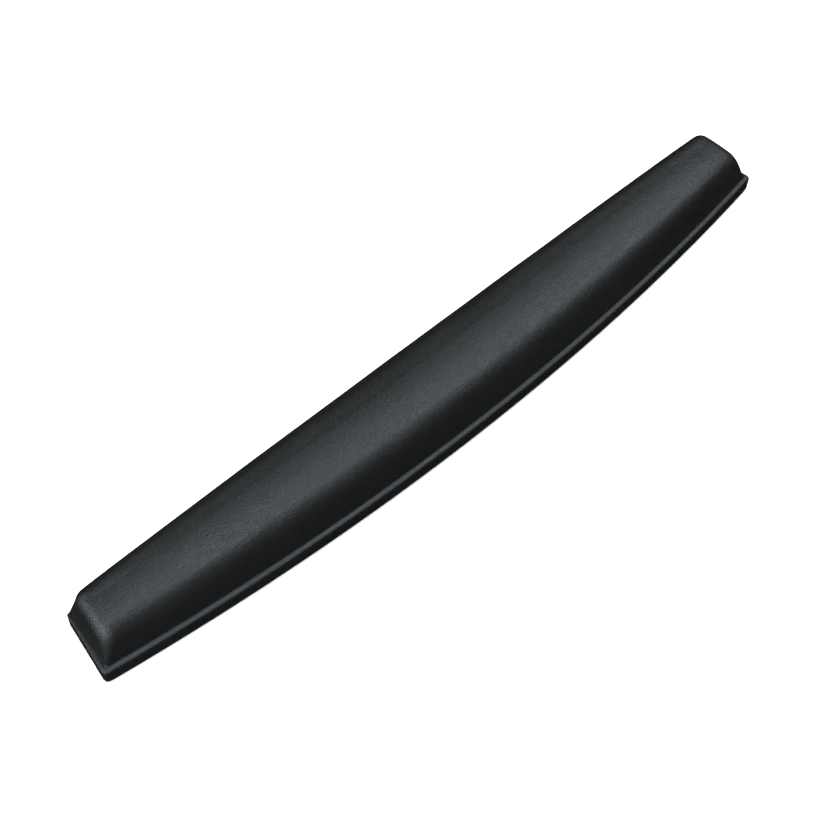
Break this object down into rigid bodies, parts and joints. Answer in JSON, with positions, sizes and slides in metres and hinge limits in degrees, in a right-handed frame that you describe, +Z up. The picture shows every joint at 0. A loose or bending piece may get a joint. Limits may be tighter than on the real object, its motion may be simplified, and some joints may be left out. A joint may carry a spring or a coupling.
{
  "type": "keyboard wrist rest",
  "caption": "Long low padded wrist rest with a bowed front edge, a leatherette cover drawn over a gel pad and foam, a raised rim around the base and a rubber underside.",
  "frame": {"origin": "middle of the footprint, on the surface that the rest stands on", "axes": "+X along the rest, +Y from the user towards the keyboard, +Z up"},
  "size_m": [0.469, 0.0584, 0.031],
  "materials": {
    "leatherette": "fine grained, satin",
    "clear_film": "smooth",
    "gel": "soft, translucent in life",
    "foam": "open cell, matte",
    "adhesive": "thin film",
    "tray_plastic": "moulded, matte",
    "base_rubber": "matte, fine pattern"
  },
  "bodies": {
    "root": {"cover_skin": "leatherette", "gel_film_top": "clear_film", "gel_pad": "gel", "gel_film_bottom": "clear_film", "foam_bed": "foam", "foam_adhesive": "adhesive", "base_tray": "tray_plastic", "hem_adhesive": "adhesive", "base_adhesive": "adhesive", "nonskid_base": "base_rubber"}
  },
  "joints": []
}
